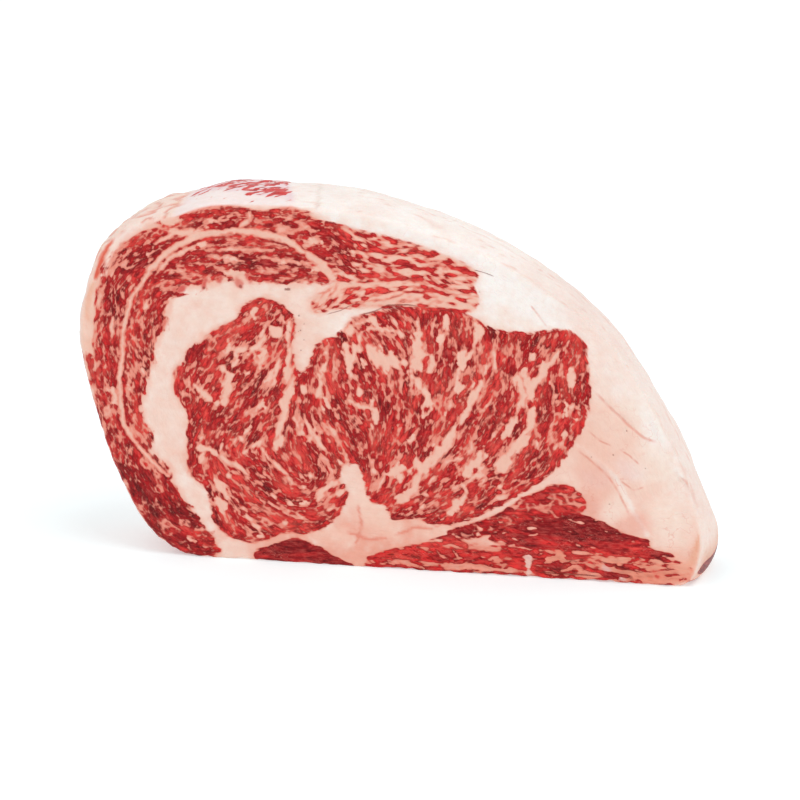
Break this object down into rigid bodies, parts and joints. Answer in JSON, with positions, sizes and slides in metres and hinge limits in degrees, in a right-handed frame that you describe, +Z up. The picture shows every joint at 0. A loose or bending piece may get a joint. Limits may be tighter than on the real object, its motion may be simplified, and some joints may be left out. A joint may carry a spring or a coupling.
{
  "type": "raw ribeye steak",
  "caption": "Thick raw marbled ribeye steak standing on its straight lower edge, with round eye muscle, cap muscle round it and a broad fat cap.",
  "frame": {"origin": "centre of the flat lower edge that the slice stands on, under the middle of its bounding box", "axes": "+X along the length of the cut face towards the pointed fat end, +Y through the thickness from the front cut face to the back one, +Z up"},
  "size_m": [0.2474, 0.046, 0.1427],
  "materials": {
    "meat": "moist raw beef, red lean finely marbled with pink fat, cream fat seams and a pale fat cap, soft satin shine"
  },
  "bodies": {
    "root": {"ribeye_steak": "meat"}
  },
  "joints": []
}
